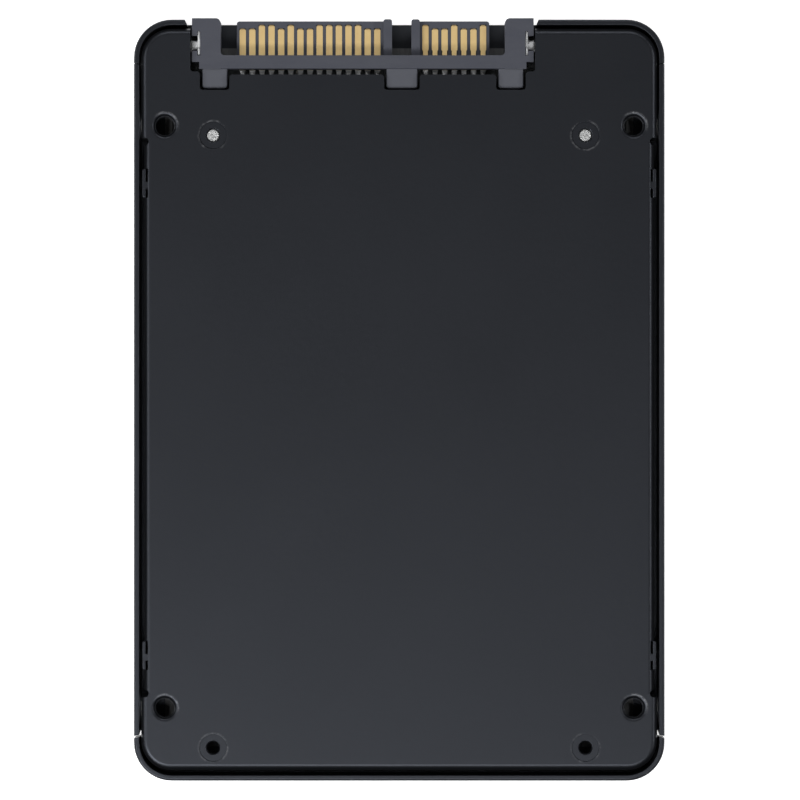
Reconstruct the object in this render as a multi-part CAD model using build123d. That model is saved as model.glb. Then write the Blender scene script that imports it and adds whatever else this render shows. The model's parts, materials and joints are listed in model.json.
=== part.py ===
from build123d import *
import os

# A 2.5 inch solid state drive, 7 mm high, lying on its label face with the mounting face up.
# It is a clipped two-piece metal case: a cover whose folded walls make the rim, and a base plate that
# carries the circuit board on two screws. Every solid below is one separate physical piece.
#
# Millimetres. +Z leaves the mounting face, +Y leaves the connector end, +X is to the right seen from
# above. The origin is the centre of the label face.

# ---------------------------------------------------------------- driving dimensions
CASE_WIDTH = 69.85
CASE_LENGTH = 100.2
CASE_HEIGHT = 7.0
CASE_CORNER = 5.0
PLUG_PROUD = 0.2                                   # how far the plug's guides stand past the case

HALF_WIDTH = CASE_WIDTH / 2
PLUG_TIP = (CASE_LENGTH + PLUG_PROUD) / 2
CASE_FRONT = PLUG_TIP - PLUG_PROUD
CASE_REAR = CASE_FRONT - CASE_LENGTH

# the form factor's screw holes, measured from the connector end
HOLE_FROM_FRONT = 14.0
HOLE_PITCH_Y = 76.6
HOLE_PITCH_X = 61.72
SIDE_HOLE_DROP = 3.0                               # below the mounting face
M3_TAPPED_R = 1.3
HOLE_ROWS = (CASE_FRONT - HOLE_FROM_FRONT, CASE_FRONT - HOLE_FROM_FRONT - HOLE_PITCH_Y)

# the cover
COVER_SHEET = 0.7
COVER_BEND = 0.9
RIM_DROP = 0.12                                    # the rim ends just under the mounting face
RIM_EDGE_OUTSIDE = 0.3
RIM_EDGE_INSIDE = 0.08
RIM_TOP = CASE_HEIGHT - RIM_DROP
MOUTH_X = (-27.95, 18.05)                          # the open stretch of the front wall, at its inside
MOUTH_FLARE = 0.3                                  # and how much wider it is at the outside
SILL_SETBACK = 0.4                                 # the floor's front edge, behind the front wall's face
SLIT_FROM_END = 5.75                               # relief cuts where the end walls curl to the sides
SLIT_SKEW = 10.0
SLIT_FRONT = 0.12
SLIT_REAR = 0.28
SLIT_SPREAD = 0.45
SLIT_REACH = 1.1
SIDE_CLEARANCE_R = 1.9

# the blank label, sunk in the label face
LABEL_MARGIN = 4.0
LABEL_SUNK = 0.15
LABEL_FILM = 0.1
LABEL_CORNER = 2.5
LABEL_PLAY = 0.2

# the base plate
PLATE_SHEET = 0.6
PLATE_BEND = 0.8
PLATE_SIDE = 33.975                                # half width at the four screw corners
PLATE_WAIST = 33.55                                # half width between them
PLATE_Y = (CASE_REAR + 1.4, CASE_FRONT - 1.2)
PLATE_CORNER = 3.9
PLATE_MOUTH_X = (-27.5, 17.9)
PLATE_MOUTH_BACK = 43.15
TAIL_BAY_BACK = PLATE_MOUTH_BACK - 0.4             # a little deeper where the solder tails are
CUTOUT_CORNER = 0.4
FLANGE_FOOT = 1.9
PLATE_FLOOR = CASE_HEIGHT - PLATE_SHEET
WAIST_Y = (-38.7, 33.95)
NOTCH_R = 0.5
NOTCH_DEPTH = 1.0
COLLAR_R = 2.1                                     # drawn collar round each tapped M3 hole
COLLAR_LENGTH = 1.4
SIDE_COLLAR_LENGTH = 1.0
ENTRY_ROLL = 0.5

# the spring clips of the plate and the lances of the cover that catch them
CLIP_Y = (28.45, -33.7)
CLIP_LENGTH = 3.8
CLIP_FRONT_SLOT = 1.7
CLIP_WEB = 0.9
CLIP_BOW = 33.85
CLIP_SKIN = 0.5
CLIP_END_ROUND = 0.25
CLIP_TOP_ROUND = 0.15
CLIP_WEB_ROOT = 1.2                                # how far the web reaches in from the plate's side
CLIP_Z = (2.6, 6.75)
WINDOW_Z = (4.1, 5.4)
WINDOW_LENGTH = 1.8
LANCE_LENGTH = 1.3
LANCE_REACH = 33.62
LANCE_Z = (4.2, 5.2)
LANCE_NOSE = 0.25                                  # height of the lance's blunt tip

# the circuit board
BOARD_X = 30.0
BOARD_Y = (-6.0, 47.8)
BOARD_Z = (2.2, 3.2)
BOARD_SCREW_X = 24.5
BOARD_SCREW_Y = 34.75
SPARE_SCREW_Y = -45.85                             # for the long board of larger capacities
TOOLING_HOLE_AT = (12.0, BOARD_Y[0] + 3.0)
SCREW_CLEARANCE_R = 1.1

# the M2 standoffs clinched into the plate; the board hangs from the front pair
STANDOFF_SHANK_R = 1.8
STANDOFF_BODY_R = 2.2
STANDOFF_SUNK = 0.14
STANDOFF_MOUTH_R = 0.97
M2_R = 0.82
M2_TIP_CHAMFER = 0.1
M2_TIP_SUNK = 0.25
M2_HEAD_R = 1.75
M2_HEAD_HEIGHT = 0.85
M2_RECESS = (1.9, 0.4)                             # length and width of the cross recess's arms

# the SATA plug, about its own centre line
PLUG_CENTRE = -4.8
PITCH = 1.27
GUIDE_IN = 18.72
GUIDE_OUT = 22.5
GUIDE_WAIST = 21.78
GUIDE_REAR_OUT = 21.55
GUIDE_RECESS_Y = (PLUG_TIP - 4.3, PLUG_TIP - 2.3)    # the waist behind each guide's head
GUIDE_SHOULDER_Y = PLUG_TIP - 5.75                 # behind it the guide is as wide as the bar
GUIDE_LEAD_IN = 0.65
BAR_Y = (PLUG_TIP - 6.68, PLUG_TIP - 4.88)
HOUSING_Z = (1.3, 6.35)
BOARD_OVERLAP = 1.35                               # how far the plug's bar sits over the board
LEG_TOP = 6.2
LEG_REAR = PLUG_TIP - 9.26
OUTER_LEG = (17.85, 21.15)
MIDDLE_LEG = (3.1, 7.2)
LEGS = ((-OUTER_LEG[1], -OUTER_LEG[0]), MIDDLE_LEG, OUTER_LEG)
LEG_GAP = 0.3                                      # daylight between a leg and the plate
LEG_EDGE = 0.18
PEG_R = 0.7
PEG_FROM_LEG_REAR = 1.2
TONGUE_Z = (2.3, 3.5)
TONGUE_TIP = PLUG_TIP - 0.27
POWER_TONGUE = (-16.65, 3.85)
SIGNAL_TONGUE = (6.4, 16.7)
KEY_WIDTH = 1.12
KEY_TIP = PLUG_TIP - 0.05
KEY_TOP = 4.7
POWER_FIRST = -12.5 * PITCH                        # contact P15, the leftmost
SIGNAL_FIRST = 6.5 * PITCH                         # contact S7
# which contacts reach further forward and so mate first, left to right
POWER_LONG = (2, 3, 5, 8, 9, 10, 11, 12)
SIGNAL_LONG = (0, 3, 6)
CONTACT_WIDTH = 0.84
CONTACT_NECK = 0.64
CONTACT_SKIN = 0.25
LONG_TIP = PLUG_TIP - 0.72
SHORT_TIP = PLUG_TIP - 1.2
TAIL_WIDTH = 0.42
TAIL_END = 42.0
SLOT_PLAY = 0.02
LOCK_Y = (PLUG_TIP - 4.9, PLUG_TIP - 1.75)
LOCK_FOOT_Y = (PLUG_TIP - 4.22, PLUG_TIP - 2.9)
LOCK_SKIN = 0.35
LOCK_TOP = HOUSING_Z[1] - 0.35
LOCK_TOP_ROUND = 0.15
LOCK_NOTCH_Y = (LOCK_Y[0] + 0.95, LOCK_Y[1] - 1.05)
LOCK_NOTCH_DEPTH = 0.4
LOCK_FOOT_OUT = 23.9

# parts on the board
CHIP_HEIGHT = 1.2
CHIP_EDGE = 0.08
LOWER_CHIP_HEIGHT = 1.0
FLASH_SIZE = (12.0, 18.0)
FLASH_X = 19.0
FLASH_Y = 10.0
FLASH_PAD_SIZE = (10.0, 15.0)
CONTROLLER_SIZE = (13.0, 13.0)
CONTROLLER_AT = (0.0, 24.0)
CONTROLLER_PAD_SIZE = (12.0, 12.0)
FIRMWARE_AT = (0.0, 4.0)
REGULATOR_AT = (-14.0, 36.2)
PROTECTOR_AT = (-19.0, 39.2)
CRYSTAL_AT = (11.5, 29.0)
INDUCTORS_AT = ((-13.5, 30.0), (-18.5, 27.0), (-13.5, 25.0))
BULK_CAPACITORS_X = (-9.0, -6.2, -3.4, -0.6)
BULK_CAPACITORS_Y = 37.2
SMALL_CHIP = (1.0, 0.5)                            # length and width of the smallest two-ended parts

# the insulating film on the cover's floor
FILM_X = (-31.0, 31.0)
FILM_Y = (-46.0, 46.5)
FILM_THICKNESS = 0.1

EPS = 0.01                                         # daylight between pieces that only touch


# ---------------------------------------------------------------- helpers
def block(x, y, z):
    """A box between three (low, high) pairs."""
    return Pos(sum(x) / 2, sum(y) / 2, sum(z) / 2) * Box(x[1] - x[0], y[1] - y[0], z[1] - z[0])


def rounded(x, y, z, radius):
    """A block whose upright edges are rounded."""
    return fillet(block(x, y, z).edges().filter_by(Axis.Z), radius)


def post(x, y, radius, z):
    """A round post between two heights."""
    return Pos(x, y, sum(z) / 2) * Cylinder(radius, z[1] - z[0])


def side_rod(side, y, z, radius, x):
    """A round rod along X between two half-widths, on the right (+1) or the left (-1)."""
    return Pos(side * sum(x) / 2, y, z) * Rot(0, 90, 0) * Cylinder(radius, x[1] - x[0])


def mirrored(low, high, side):
    """The pair (low, high) on the right (+1) or its mirror image on the left (-1)."""
    return (low, high) if side > 0 else (-high, -low)


def about(centre, width):
    """A (low, high) pair of that width about a centre."""
    return (centre - width / 2, centre + width / 2)


def plug_x(low, high):
    """A (low, high) pair of the plug, moved from its centre line to the drive's."""
    return (PLUG_CENTRE + low, PLUG_CENTRE + high)


def softened(shape, edges, radius):
    """The shape with some of its edges rounded."""
    return fillet(edges(shape), radius)


def save(name, *solids):
    """Writes one node. Several solids of one kind make a group."""
    export_step(solids[0] if len(solids) == 1 else Compound(children=list(solids)), f"parts/{name}.step")


# ---------------------------------------------------------------- cover
def lance(side, y, inset=0.0):
    """The catch pressed out of the cover's wall: flat below, ramped above, so the plate clicks in."""
    wall = HALF_WIDTH - COVER_SHEET - inset
    tip = LANCE_REACH - inset
    profile = Polyline((wall, LANCE_Z[0]), (tip, LANCE_Z[0]), (tip, LANCE_Z[0] + LANCE_NOSE),
                       (wall, LANCE_Z[1]), close=True)
    catch = extrude(Plane.XZ * make_face(profile), LANCE_LENGTH / 2, both=True)
    catch = Pos(0, y, 0) * catch
    return catch if side > 0 else mirror(catch, Plane.YZ)


def relief_slit(side, front):
    """A slanted cut through the wall, between an end wall's curled corner and the side wall.

    The rear pair runs on through the fold of the floor, and widens towards it.
    """
    width = SLIT_FRONT if front else SLIT_REAR
    y = CASE_FRONT - SLIT_FROM_END if front else CASE_REAR + SLIT_FROM_END
    skew = side * SLIT_SKEW * (1 if front else -1)
    low = COVER_BEND if front else -1.0
    spread = 0.0 if front else SLIT_SPREAD
    across = make_face(Polyline((-width / 2, CASE_HEIGHT), (width / 2, CASE_HEIGHT),
                                (width / 2 + spread, low), (-width / 2, low), close=True))
    cut = extrude(Plane.YZ * across, SLIT_REACH, both=True)
    return Pos(side * HALF_WIDTH, y, 0) * Rot(0, 0, skew) * cut


def front_mouth():
    """The gap in the front wall that the plug looks out of, and the floor's set-back edge below it."""
    inside = CASE_FRONT - COVER_SHEET
    beyond = CASE_FRONT + COVER_SHEET
    behind = inside - 0.5
    left, right = MOUTH_X
    flare = 2 * MOUTH_FLARE
    gap = make_face(Polyline((left, behind), (left, inside), (left - flare, beyond), (right + flare, beyond),
                             (right, inside), (right, behind), close=True))
    sill = CASE_FRONT - SILL_SETBACK
    in_front = gap & Pos(0, sill + 1.0) * Rectangle(CASE_WIDTH, 2.0)
    return Pos(0, 0, COVER_SHEET) * extrude(gap, CASE_HEIGHT) + Pos(0, 0, -1) * extrude(in_front, 3.0)


def make_cover():
    outer = rounded((-HALF_WIDTH, HALF_WIDTH), (CASE_REAR, CASE_FRONT), (0, RIM_TOP), CASE_CORNER)
    outer = softened(outer, lambda s: s.edges().group_by(Axis.Z)[0], COVER_BEND)
    inside_x = HALF_WIDTH - COVER_SHEET
    hollow = rounded((-inside_x, inside_x), (CASE_REAR + COVER_SHEET, CASE_FRONT - COVER_SHEET),
                     (COVER_SHEET, CASE_HEIGHT), CASE_CORNER - COVER_SHEET)
    hollow = softened(hollow, lambda s: s.edges().group_by(Axis.Z)[0], COVER_BEND - COVER_SHEET)
    cover = outer - hollow
    brim = cover.faces().sort_by(Axis.Z)[-1]
    cover = fillet(brim.outer_wire().edges(), RIM_EDGE_OUTSIDE)
    cover = fillet(cover.faces().sort_by(Axis.Z)[-1].inner_wires()[0].edges(), RIM_EDGE_INSIDE)
    cover -= front_mouth()
    for side in (1, -1):
        for y in HOLE_ROWS:
            cover -= side_rod(side, y, CASE_HEIGHT - SIDE_HOLE_DROP, SIDE_CLEARANCE_R,
                              (inside_x - 1, HALF_WIDTH + 1))
        for front in (True, False):
            cover -= relief_slit(side, front)
        for y in CLIP_Y:
            cover += lance(side, y)
            cover -= lance(side, y, inset=-COVER_SHEET)
    return cover - label_recess()


def label_panel(z, grow=0.0):
    """The flat panel on the label face, between two heights."""
    x = HALF_WIDTH - LABEL_MARGIN + grow
    y = (CASE_REAR + LABEL_MARGIN - grow, CASE_FRONT - LABEL_MARGIN + grow)
    return rounded((-x, x), y, z, LABEL_CORNER + grow)


def label_recess():
    return label_panel((-1, LABEL_SUNK), grow=LABEL_PLAY)


# ---------------------------------------------------------------- base plate
def pan(half_width):
    """A shallow upturned tray: the plate and its folded edge, at one half width."""
    outer = rounded((-half_width, half_width), PLATE_Y, (FLANGE_FOOT, CASE_HEIGHT), PLATE_CORNER)
    outer = softened(outer, lambda s: s.edges().group_by(Axis.Z)[-1], PLATE_BEND)
    inner_x = half_width - PLATE_SHEET
    inner_y = (PLATE_Y[0] + PLATE_SHEET, PLATE_Y[1] - PLATE_SHEET)
    inner = rounded((-inner_x, inner_x), inner_y, (FLANGE_FOOT - 1, PLATE_FLOOR), PLATE_CORNER - PLATE_SHEET)
    inner = softened(inner, lambda s: s.edges().group_by(Axis.Z)[-1], PLATE_BEND - PLATE_SHEET)
    return outer - inner


def plug_cutout():
    """The plate's opening round the plug: stepped for the solder tails and for the three legs."""
    ahead = CASE_FRONT + 1
    steps = [(PLATE_MOUTH_X, PLATE_MOUTH_BACK), (plug_x(-OUTER_LEG[0], OUTER_LEG[0]), TAIL_BAY_BACK)]
    steps += [(plug_x(low - LEG_GAP, high + LEG_GAP), LEG_REAR - LEG_GAP * 0.7) for low, high in LEGS]
    opening = Sketch() + [Pos(sum(x) / 2, (back + ahead) / 2) * Rectangle(x[1] - x[0], ahead - back)
                          for x, back in steps]
    inner = [v for v in opening.vertices() if v.Y < CASE_FRONT]
    opening = fillet(inner, CUTOUT_CORNER)
    return extrude(opening, CASE_HEIGHT + 2)


def clip(side, y):
    """What a spring clip adds to the plate: a bowed skin held by a web, with a window in it."""
    skin_x = mirrored(CLIP_BOW - CLIP_SKIN, CLIP_BOW, side)
    skin = block(skin_x, about(y, CLIP_LENGTH), CLIP_Z)
    outer_ends = skin.faces().sort_by(Axis.X)[-1 if side > 0 else 0].edges().filter_by(Axis.Z)
    skin = fillet(outer_ends, CLIP_END_ROUND)
    top = skin.edges().group_by(Axis.Z)[-1].filter_by(Axis.Y)
    skin = fillet(top, CLIP_TOP_ROUND)
    web_y = y + CLIP_LENGTH / 2 - CLIP_FRONT_SLOT - CLIP_WEB / 2
    web_x = mirrored(PLATE_WAIST - CLIP_WEB_ROOT, CLIP_BOW - 0.2, side)
    skin += block(web_x, about(web_y, CLIP_WEB), (PLATE_FLOOR, CLIP_Z[1]))
    return skin - block(mirrored(32.0, 35.0, side), about(y, WINDOW_LENGTH), WINDOW_Z)


def clip_relief(side, y):
    """What a spring clip takes from the plate's fold, above the strip that joins its two ends."""
    x = mirrored(PLATE_WAIST - PLATE_SHEET + 0.12, 35.0, side)
    return block(x, about(y, CLIP_LENGTH), (CLIP_Z[0] + 0.5, CASE_HEIGHT + 1))


def tapped_collar(side, y):
    """The material of an M3 collar drawn inward from the side fold."""
    inner = PLATE_SIDE - PLATE_SHEET - SIDE_COLLAR_LENGTH
    return side_rod(side, y, CASE_HEIGHT - SIDE_HOLE_DROP, COLLAR_R - 0.2, (inner, PLATE_SIDE - 0.1))


def make_base_plate():
    front = pan(PLATE_SIDE) & block((-40, 40), (WAIST_Y[1], 60), (0, 8))
    rear = pan(PLATE_SIDE) & block((-40, 40), (-60, WAIST_Y[0]), (0, 8))
    plate = front + rear + (pan(PLATE_WAIST) & block((-40, 40), WAIST_Y, (0, 8)))
    for side in (1, -1):
        for y in WAIST_Y:
            round_x = PLATE_SIDE - NOTCH_DEPTH + NOTCH_R
            plate -= block(mirrored(round_x, 36.0, side), about(y, 2 * NOTCH_R), (0, CASE_HEIGHT + 1))
            plate -= post(side * round_x, y, NOTCH_R, (0, CASE_HEIGHT + 1))
        for y in CLIP_Y:
            plate -= clip_relief(side, y)
            plate += clip(side, y)
        for y in HOLE_ROWS:
            collar_z = (PLATE_FLOOR - COLLAR_LENGTH, CASE_HEIGHT - 0.2)
            plate += post(side * HOLE_PITCH_X / 2, y, COLLAR_R, collar_z)
            plate += tapped_collar(side, y)
    for side in (1, -1):
        for y in HOLE_ROWS:
            plate -= post(side * HOLE_PITCH_X / 2, y, M3_TAPPED_R, (0, 8))
            plate -= side_rod(side, y, CASE_HEIGHT - SIDE_HOLE_DROP, M3_TAPPED_R, (31.0, 36.0))
        for y in (BOARD_SCREW_Y, SPARE_SCREW_Y):
            plate -= post(side * BOARD_SCREW_X, y, STANDOFF_SHANK_R, (0, 8))
    mouths = [e for e in plate.edges().filter_by(GeomType.CIRCLE)
              if abs(e.radius - M3_TAPPED_R) < 1e-3 and abs(e.center().Z - CASE_HEIGHT) < 1e-3]
    plate = fillet(mouths, ENTRY_ROLL)
    return plate - plug_cutout()


def make_standoff(x, y):
    body = post(x, y, STANDOFF_BODY_R, (BOARD_Z[1], PLATE_FLOOR))
    body += post(x, y, STANDOFF_SHANK_R, (PLATE_FLOOR - EPS, CASE_HEIGHT - STANDOFF_SUNK))
    body -= post(x, y, M2_R, (0, 8))
    mouth = body.edges().filter_by(GeomType.CIRCLE).group_by(Axis.Z)[-1].sort_by(SortBy.RADIUS)[0]
    return chamfer(mouth, STANDOFF_MOUTH_R - M2_R)


def make_board_screw(x, y):
    """An M2 pan-head screw, up through the board into its standoff. Its tip shows from outside."""
    head_z = (BOARD_Z[0] - M2_HEAD_HEIGHT, BOARD_Z[0])
    head = post(x, y, M2_HEAD_R, head_z)
    head = softened(head, lambda s: s.edges().group_by(Axis.Z)[0], 0.35)
    shank = post(x, y, M2_R - EPS, (BOARD_Z[0] - 0.1, CASE_HEIGHT - M2_TIP_SUNK))
    shank = chamfer(shank.edges().group_by(Axis.Z)[-1], M2_TIP_CHAMFER)
    length, width = M2_RECESS
    depth = M2_HEAD_HEIGHT + 0.05
    recess = Pos(x, y, head_z[0]) * (Box(length, width, depth) + Box(width, length, depth))
    return head + shank - recess


# ---------------------------------------------------------------- circuit board
def make_board():
    board = rounded((-BOARD_X, BOARD_X), BOARD_Y, BOARD_Z, 1.0)
    bay = plug_x(-GUIDE_REAR_OUT + 0.1, GUIDE_REAR_OUT - 0.1)
    board -= block(bay, (BAR_Y[0] + BOARD_OVERLAP, BOARD_Y[1] + 1), (BOARD_Z[0] - 1, BOARD_Z[1] + 1))
    through = (BOARD_Z[0] - 1, BOARD_Z[1] + 1)
    for side in (1, -1):
        board -= post(side * BOARD_SCREW_X, BOARD_SCREW_Y, SCREW_CLEARANCE_R, through)
        board -= post(side * TOOLING_HOLE_AT[0], TOOLING_HOLE_AT[1], SCREW_CLEARANCE_R, through)
    for low, high in peg_spans():
        board -= post(sum(plug_x(low, high)) / 2, LEG_REAR + PEG_FROM_LEG_REAR, PEG_R + 0.05, through)
    return board


def peg_spans():
    """The two outer legs, each with a locating peg through the board."""
    return ((-OUTER_LEG[1], -OUTER_LEG[0]), OUTER_LEG)


# ---------------------------------------------------------------- plug
def tongue(span, key_left):
    """One contact tongue with the raised key that makes its L shape."""
    body = block(plug_x(*span), (BAR_Y[1] - 0.3, TONGUE_TIP), TONGUE_Z)
    tip_corners = body.edges().filter_by(Axis.Z).group_by(Axis.Y)[-1]
    body = fillet(tip_corners, 0.35)
    key = (span[0], span[0] + KEY_WIDTH) if key_left else (span[1] - KEY_WIDTH, span[1])
    rib = block(plug_x(*key), (BAR_Y[1] - 0.3, KEY_TIP), (TONGUE_Z[0], KEY_TOP))
    rib = fillet(rib.edges().filter_by(Axis.Z).group_by(Axis.Y)[-1], 0.3)
    return body + rib


def guide(side):
    """A blind-mating guide at one end of the plug, with its waist for the board lock."""
    x = plug_x(*mirrored(GUIDE_IN, GUIDE_OUT, side))
    post_body = block(x, (BAR_Y[0], PLUG_TIP), HOUSING_Z)
    inner_face = post_body.faces().sort_by(Axis.X)[0 if side > 0 else -1]
    lead_in = inner_face.edges().filter_by(Axis.Z).sort_by(Axis.Y)[-1]
    post_body = fillet(lead_in, GUIDE_LEAD_IN)
    through = (HOUSING_Z[0] - 1, HOUSING_Z[1] + 1)
    post_body -= block(plug_x(*mirrored(GUIDE_WAIST, GUIDE_OUT + 1, side)),
                       GUIDE_RECESS_Y, through)
    post_body -= block(plug_x(*mirrored(GUIDE_REAR_OUT, GUIDE_OUT + 1, side)),
                       (BAR_Y[0] - 1, GUIDE_SHOULDER_Y), through)
    # over the board, the guide stops on its upper face
    post_body -= block(plug_x(-GUIDE_OUT - 1, GUIDE_OUT + 1), (BAR_Y[0] - 1, BAR_Y[0] + BOARD_OVERLAP + EPS),
                       (0, BOARD_Z[1]))
    ear = plug_x(*mirrored(GUIDE_REAR_OUT - 0.1, GUIDE_OUT + 1, side))
    return post_body - block(ear, (BAR_Y[0] - 1, BOARD_Y[1] + 0.1), (0, BOARD_Z[1]))


def contact_slots():
    """Grooves in the tongues and slots through the bar, one for each contact."""
    cuts = []
    for x, tip, _ in all_contacts():
        cuts.append(block(about(x, CONTACT_WIDTH + 2 * SLOT_PLAY), (BAR_Y[0] - 1, tip + SLOT_PLAY),
                          (TONGUE_Z[1] - CONTACT_SKIN, TONGUE_Z[1] + 0.08)))
    return cuts


def all_contacts():
    """(x, tip, is a signal contact) of every contact, left to right."""
    power = [(PLUG_CENTRE + POWER_FIRST + n * PITCH, LONG_TIP if n in POWER_LONG else SHORT_TIP, False)
             for n in range(15)]
    signal = [(PLUG_CENTRE + SIGNAL_FIRST + n * PITCH, LONG_TIP if n in SIGNAL_LONG else SHORT_TIP, True)
              for n in range(7)]
    return power + signal


def make_housing():
    bar = block(plug_x(-GUIDE_REAR_OUT, GUIDE_REAR_OUT), BAR_Y, (BOARD_Z[1], HOUSING_Z[1]))
    bar = chamfer(bar.edges().group_by(Axis.Z)[-1].sort_by(Axis.Y)[0], 0.12)
    bar += block(plug_x(-GUIDE_IN - 1, GUIDE_IN + 1), (BAR_Y[0] + BOARD_OVERLAP + EPS, BAR_Y[1]), HOUSING_Z)
    housing = bar + tongue(POWER_TONGUE, key_left=False) + tongue(SIGNAL_TONGUE, key_left=True)
    for side in (1, -1):
        housing += guide(side)
    for low, high in LEGS:
        leg = block(plug_x(low, high), (LEG_REAR, BAR_Y[0] + 0.2), (BOARD_Z[1], LEG_TOP))
        leg = fillet(leg.edges().filter_by(Axis.Z).group_by(Axis.Y)[0], 0.35)
        housing += fillet(leg.edges().group_by(Axis.Z)[-1], LEG_EDGE)
    for low, high in peg_spans():
        housing += post(sum(plug_x(low, high)) / 2, LEG_REAR + PEG_FROM_LEG_REAR, PEG_R,
                        (BOARD_Z[0] - 0.2, BOARD_Z[1] + 0.1))
    inner_corners = [e for e in housing.edges().filter_by(Axis.Z)
                     if abs(e.center().Y - BAR_Y[1]) < 1e-3
                     and abs(abs(e.center().X - PLUG_CENTRE) - GUIDE_IN) < 1e-3]
    housing = fillet(inner_corners, 0.5)
    for cut in contact_slots():
        housing -= cut
    for side in (1, -1):
        pocket_x = mirrored(GUIDE_WAIST - LOCK_SKIN - SLOT_PLAY, GUIDE_WAIST + SLOT_PLAY, side)
        housing -= block(plug_x(*pocket_x), (LOCK_Y[0] - SLOT_PLAY, LOCK_Y[1] + SLOT_PLAY),
                         (BOARD_Z[1] - 0.5, HOUSING_Z[1] + 1))
        foot_x = mirrored(GUIDE_WAIST - LOCK_SKIN, GUIDE_OUT + 2, side)
        housing -= block(plug_x(*foot_x), (LOCK_FOOT_Y[0] - SLOT_PLAY, LOCK_FOOT_Y[1] + SLOT_PLAY),
                         (BOARD_Z[1] - 0.5, BOARD_Z[1] + LOCK_SKIN + 0.05))
    return housing


def make_contact(x, tip, is_signal):
    """A stamped contact: bevelled tip, straight through the bar, down to its solder tail behind it."""
    top = TONGUE_Z[1] + 0.04
    low = top - CONTACT_SKIN
    pad = BOARD_Z[1] + EPS
    bend = BAR_Y[0] - 0.15
    tail_top = pad + 0.2
    from_the_side = Polyline((tip, low), (tip, top - 0.14), (tip - 0.2, top), (bend, top),
                             (bend - 0.35, tail_top), (TAIL_END, tail_top), (TAIL_END, pad),
                             (bend - 0.45, pad), (bend - 0.1, low), close=True)
    strip = extrude(Plane.YZ * make_face(from_the_side), CONTACT_WIDTH, both=True)
    wide = CONTACT_WIDTH / 2
    rear = (CONTACT_NECK if is_signal else CONTACT_WIDTH) / 2
    neck = BAR_Y[1] + 0.85
    edge = [(wide - 0.2, tip), (wide, tip - 0.25), (wide, neck), (rear, neck - 0.15), (rear, BAR_Y[0]),
            (TAIL_WIDTH / 2, BAR_Y[0] - 0.5), (TAIL_WIDTH / 2, TAIL_END)]
    if not is_signal:
        edge = edge[:2] + edge[4:]
    from_above = make_face(Polyline(*edge, *[(-half, y) for half, y in reversed(edge)], close=True))
    return Pos(x, 0, 0) * (strip & extrude(from_above, CASE_HEIGHT))


def make_board_lock(side):
    """The metal hold-down of one guide: a blade in its pocket and a foot soldered to the board."""
    skin_x = mirrored(GUIDE_WAIST - LOCK_SKIN, GUIDE_WAIST, side)
    blade = block(plug_x(*skin_x), LOCK_Y, (BOARD_Z[1] + EPS, LOCK_TOP))
    blade = fillet(blade.edges().group_by(Axis.Z)[-1].filter_by(Axis.Y), LOCK_TOP_ROUND)
    blade -= block(plug_x(*skin_x), LOCK_NOTCH_Y, (LOCK_TOP - LOCK_NOTCH_DEPTH, HOUSING_Z[1]))
    foot_x = mirrored(GUIDE_WAIST - LOCK_SKIN, LOCK_FOOT_OUT, side)
    foot = block(plug_x(*foot_x), LOCK_FOOT_Y, (BOARD_Z[1] + EPS, BOARD_Z[1] + LOCK_SKIN))
    return blade + foot


# ---------------------------------------------------------------- parts on the board
def on_board(x, y, size, height, below=False):
    """A plain body soldered on the board's upper face, or under it."""
    z = (BOARD_Z[0] - height, BOARD_Z[0] - EPS) if below else (BOARD_Z[1] + EPS, BOARD_Z[1] + height)
    return block(about(x, size[0]), about(y, size[1]), z)


def chip(x, y, size, height=CHIP_HEIGHT, below=False):
    """A moulded package: body with a small chamfer and a pin-one dimple."""
    body = on_board(x, y, size, height, below)
    face = body.faces().sort_by(Axis.Z)[0 if below else -1]
    body = chamfer(face.edges(), CHIP_EDGE)
    z = BOARD_Z[0] - height if below else BOARD_Z[1] + height
    return body - post(x - size[0] / 2 + 1.0, y + size[1] / 2 - 1.0, 0.35, about(z, 0.1))


def end_capped(x, y, length, width, height, upright=False):
    """A two-terminal chip part: a body with a wrapped, slightly larger terminal at each end."""
    cap = length * 0.22
    body = on_board(x, y, (width * 0.94, length), height * 0.94)
    for end in (-1, 1):
        body += on_board(x, y + end * (length - cap) / 2, (width, cap), height)
    return body if upright else turned(body, x, y)


def turned(shape, x, y):
    """The shape turned a quarter about an upright line."""
    return Pos(x, y, 0) * Rot(0, 0, 90) * Pos(-x, -y, 0) * shape


def make_inductor(x, y, size=4.0, height=1.9):
    """A shielded power inductor: square ferrite body, rounded corners, two terminals beneath."""
    body = rounded(about(x, size), about(y, size), (BOARD_Z[1] + 0.15, BOARD_Z[1] + height), 0.6)
    body -= post(x, y, size * 0.36, (BOARD_Z[1] + height - 0.12, BOARD_Z[1] + height + 1))
    for end in (-1, 1):
        body += on_board(x + end * size * 0.36, y, (size * 0.28, size * 0.7), 0.16)
    return body


def make_crystal(x, y):
    """A seam-welded crystal: ceramic base with a slightly smaller metal lid."""
    base = on_board(x, y, (3.2, 2.5), 0.5)
    lid = rounded(about(x, 2.8), about(y, 2.1), (BOARD_Z[1] + 0.45, BOARD_Z[1] + 0.8), 0.3)
    return base + lid


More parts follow.
